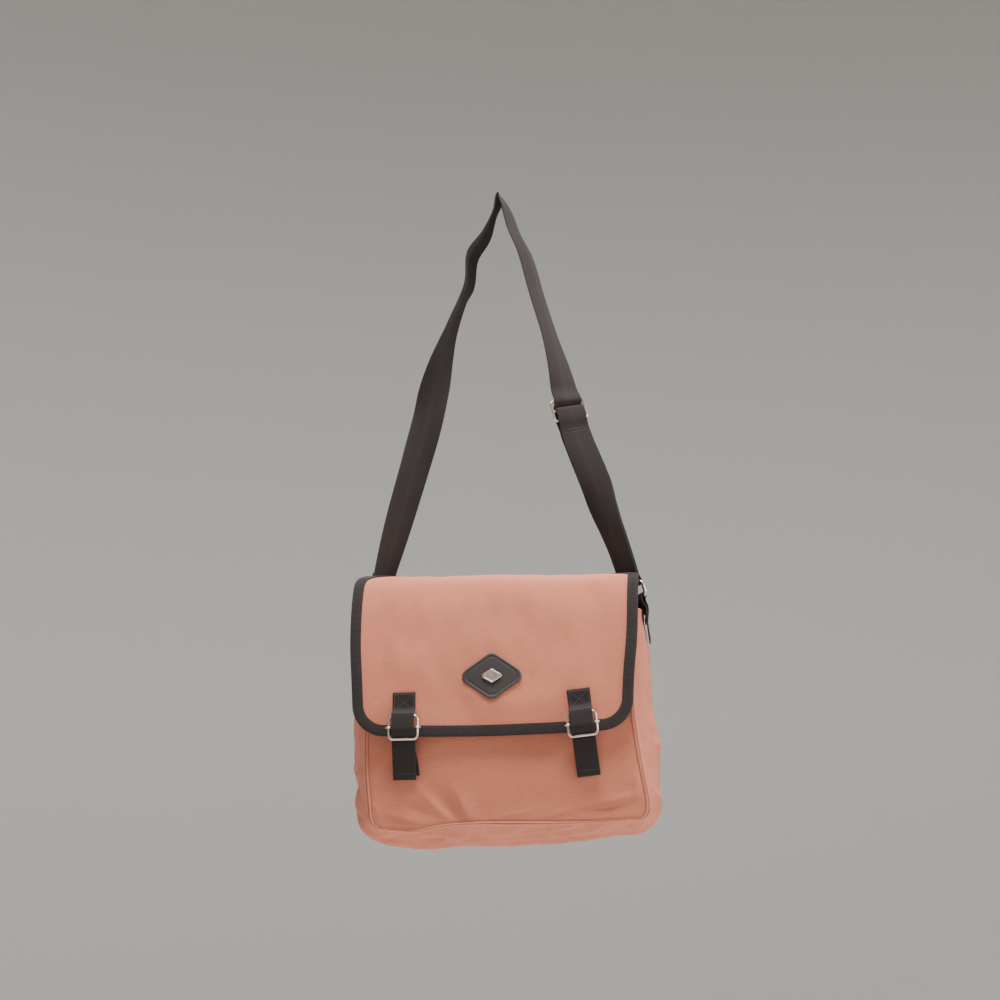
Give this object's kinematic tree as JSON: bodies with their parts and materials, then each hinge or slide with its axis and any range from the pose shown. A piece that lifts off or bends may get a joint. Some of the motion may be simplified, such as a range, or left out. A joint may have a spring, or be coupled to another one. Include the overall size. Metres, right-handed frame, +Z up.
{
  "type": "canvas messenger bag",
  "caption": "Canvas messenger bag with a bound front flap, two buckled webbing closures, a leather diamond patch and an adjustable shoulder strap, shown hanging.",
  "frame": {"origin": "where the shoulder strap hangs, on the strap's inner face at the top of its loop", "axes": "+Z up along the hanging bag, -Y out of its front, +X to the right seen from the front"},
  "size_m": [0.3704, 0.1458, 0.8333],
  "materials": {
    "canvas": "matt plain-woven cotton canvas",
    "webbing": "matt woven webbing",
    "tape": "matt woven binding tape",
    "leather": "smooth dark leather, raised edge",
    "metal": "satin pale nickel"
  },
  "bodies": {
    "root": {"front_panel": "canvas", "back_panel": "canvas", "gusset": "canvas", "flap": "canvas", "flap_binding": "tape", "diamond_patch": "leather", "diamond_plate": "metal", "closure_strap_left": "webbing", "closure_strap_right": "webbing", "buckle_tab_left": "webbing", "buckle_tab_right": "webbing", "buckle_frame_left": "metal", "buckle_frame_right": "metal", "buckle_bar_left": "metal", "buckle_bar_right": "metal", "shoulder_strap": "webbing", "slider_frame": "metal", "slider_bar": "metal", "ring_left": "metal", "ring_right": "metal", "ring_tab_left": "webbing", "ring_tab_right": "webbing"}
  },
  "joints": []
}
